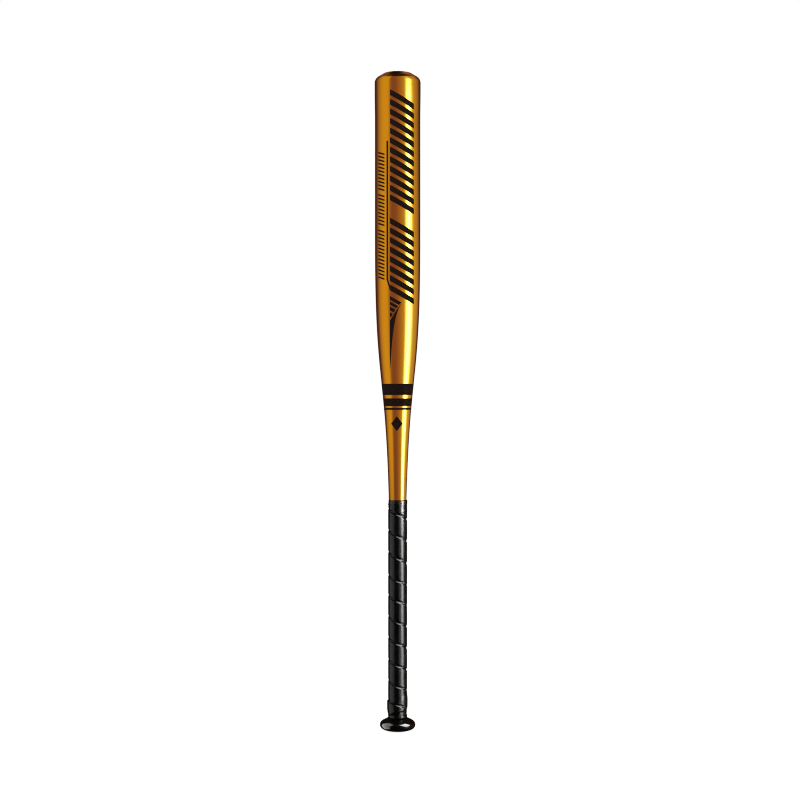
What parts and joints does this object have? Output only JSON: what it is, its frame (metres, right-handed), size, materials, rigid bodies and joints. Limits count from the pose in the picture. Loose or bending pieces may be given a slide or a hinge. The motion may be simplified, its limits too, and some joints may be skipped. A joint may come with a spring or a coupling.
{
  "type": "baseball bat",
  "caption": "Slim one-piece alloy ball bat with a rounded knob, spiral wound black grip, long taper and a plugged barrel with plain printed bars and rings.",
  "frame": {"origin": "centre of the butt face of the knob, the flat the bat stands on", "axes": "+Z along the bat from the knob to the barrel end; the printed face looks towards -Y; +X to the right seen from that face"},
  "size_m": [0.0582, 0.0581, 0.83],
  "materials": {
    "shell": "drawn aluminium with a glossy metallic gold coat",
    "plug_rubber": "moulded, satin",
    "foam": "soft closed-cell foam, matt",
    "knob_paint": "aluminium under black gloss paint",
    "backing": "black adhesive backing",
    "grip": "synthetic leather, soft sheen",
    "band": "stretched vinyl tape",
    "print": "screen-printed ink film, satin"
  },
  "bodies": {
    "root": {"bat_tube": "shell", "end_plug": "plug_rubber", "sound_damper": "foam", "knob": "knob_paint", "knob_weld_bead": "knob_paint", "knob_plug": "plug_rubber", "grip_backing": "backing", "grip_tape": "grip", "grip_start_turn": "grip", "grip_end_band": "band", "ring_wide": "print", "ring_middle": "print", "ring_thin": "print", "print_bars": "print", "print_side_line": "print", "print_tick_row": "print", "print_tail": "print", "print_lozenge": "print"}
  },
  "joints": []
}
